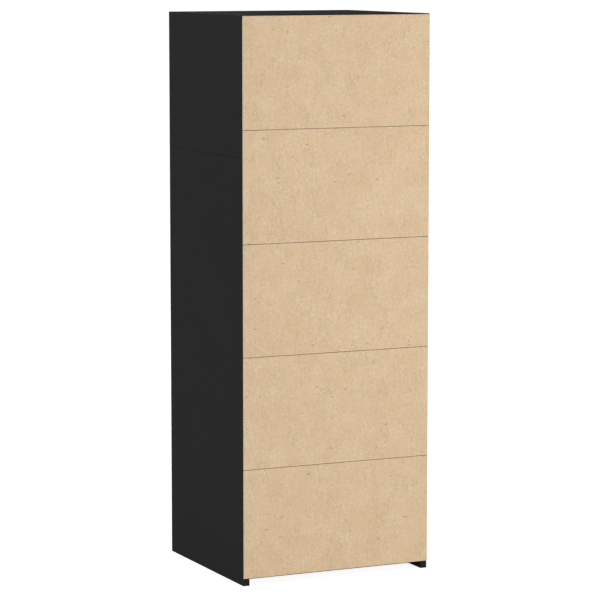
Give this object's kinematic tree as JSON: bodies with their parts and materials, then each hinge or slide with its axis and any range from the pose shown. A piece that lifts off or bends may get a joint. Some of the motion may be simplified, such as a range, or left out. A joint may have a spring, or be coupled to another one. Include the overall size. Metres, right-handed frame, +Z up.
{
  "type": "tall chest of drawers",
  "caption": "Tall, narrow free-standing chest of equal drawers on roller slides, in black melamine board with a raw hardboard back in separate panels.",
  "frame": {"origin": "centre of the footprint, on the floor", "axes": "+Z up; the drawer fronts face -Y and the hardboard back faces +Y; left is -X and right is +X, seen from the back as right and left"},
  "size_m": [0.45, 0.41, 1.24],
  "materials": {
    "black_melamine": "matt black melamine on particle board",
    "raw_hardboard": "bare hardboard with fine fibres",
    "drawer_hardboard": "dark lacquered hardboard",
    "coated_steel": "satin white epoxy"
  },
  "bodies": {
    "carcass": {"side_left_lower": "black_melamine", "side_left_upper": "black_melamine", "side_right_lower": "black_melamine", "side_right_upper": "black_melamine", "top_panel": "black_melamine", "bottom_panel": "black_melamine", "back_rail_1": "black_melamine", "back_rail_2": "black_melamine", "back_rail_3": "black_melamine", "back_rail_4": "black_melamine", "back_panel_1": "raw_hardboard", "back_panel_2": "raw_hardboard", "back_panel_3": "raw_hardboard", "back_panel_4": "raw_hardboard", "back_panel_5": "raw_hardboard", "runner_1_left": "coated_steel", "runner_1_right": "coated_steel", "runner_2_left": "coated_steel", "runner_2_right": "coated_steel", "runner_3_left": "coated_steel", "runner_3_right": "coated_steel", "runner_4_left": "coated_steel", "runner_4_right": "coated_steel", "runner_5_left": "coated_steel", "runner_5_right": "coated_steel"},
    "drawer_1": {"drawer_1_front": "black_melamine", "drawer_1_side_left": "black_melamine", "drawer_1_side_right": "black_melamine", "drawer_1_back": "black_melamine", "drawer_1_bottom": "drawer_hardboard", "drawer_1_rail_left": "coated_steel", "drawer_1_rail_right": "coated_steel"},
    "drawer_2": {"drawer_2_front": "black_melamine", "drawer_2_side_left": "black_melamine", "drawer_2_side_right": "black_melamine", "drawer_2_back": "black_melamine", "drawer_2_bottom": "drawer_hardboard", "drawer_2_rail_left": "coated_steel", "drawer_2_rail_right": "coated_steel"},
    "drawer_3": {"drawer_3_front": "black_melamine", "drawer_3_side_left": "black_melamine", "drawer_3_side_right": "black_melamine", "drawer_3_back": "black_melamine", "drawer_3_bottom": "drawer_hardboard", "drawer_3_rail_left": "coated_steel", "drawer_3_rail_right": "coated_steel"},
    "drawer_4": {"drawer_4_front": "black_melamine", "drawer_4_side_left": "black_melamine", "drawer_4_side_right": "black_melamine", "drawer_4_back": "black_melamine", "drawer_4_bottom": "drawer_hardboard", "drawer_4_rail_left": "coated_steel", "drawer_4_rail_right": "coated_steel"},
    "drawer_5": {"drawer_5_front": "black_melamine", "drawer_5_side_left": "black_melamine", "drawer_5_side_right": "black_melamine", "drawer_5_back": "black_melamine", "drawer_5_bottom": "drawer_hardboard", "drawer_5_rail_left": "coated_steel", "drawer_5_rail_right": "coated_steel"}
  },
  "joints": [
    {"name": "drawer_1_slide", "type": "slide", "parent": "carcass", "child": "drawer_1", "axis": [0, -1, 0], "range_m": [0, 0.26]},
    {"name": "drawer_2_slide", "type": "slide", "parent": "carcass", "child": "drawer_2", "axis": [0, -1, 0], "range_m": [0, 0.26]},
    {"name": "drawer_3_slide", "type": "slide", "parent": "carcass", "child": "drawer_3", "axis": [0, -1, 0], "range_m": [0, 0.26]},
    {"name": "drawer_4_slide", "type": "slide", "parent": "carcass", "child": "drawer_4", "axis": [0, -1, 0], "range_m": [0, 0.26]},
    {"name": "drawer_5_slide", "type": "slide", "parent": "carcass", "child": "drawer_5", "axis": [0, -1, 0], "range_m": [0, 0.26]}
  ]
}
